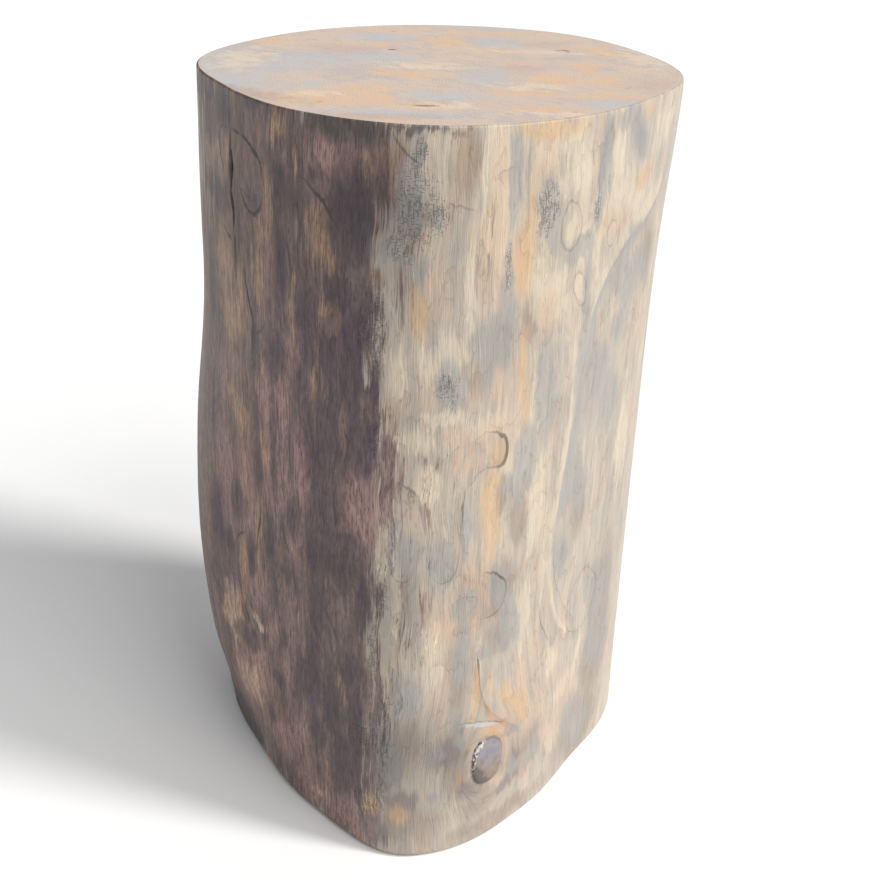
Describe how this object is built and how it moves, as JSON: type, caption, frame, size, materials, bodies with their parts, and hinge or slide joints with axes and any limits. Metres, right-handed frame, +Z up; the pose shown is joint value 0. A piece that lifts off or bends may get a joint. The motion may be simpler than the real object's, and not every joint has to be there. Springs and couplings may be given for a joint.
{
  "type": "oak log",
  "caption": "Barkless log sawn flat at both ends, with a sanded, weathered flank, knots and a drying split, standing upright as a stool or side table.",
  "frame": {"origin": "on the floor, under the middle of the log's bounding box", "axes": "+Z up along the grain, -Y towards the pictured front with its ridge and knot, +X to that view's right"},
  "size_m": [0.3172, 0.3372, 0.48],
  "materials": {
    "wood": "weathered, sanded and thinly sealed, satin"
  },
  "bodies": {
    "root": {"log": "wood"}
  },
  "joints": []
}
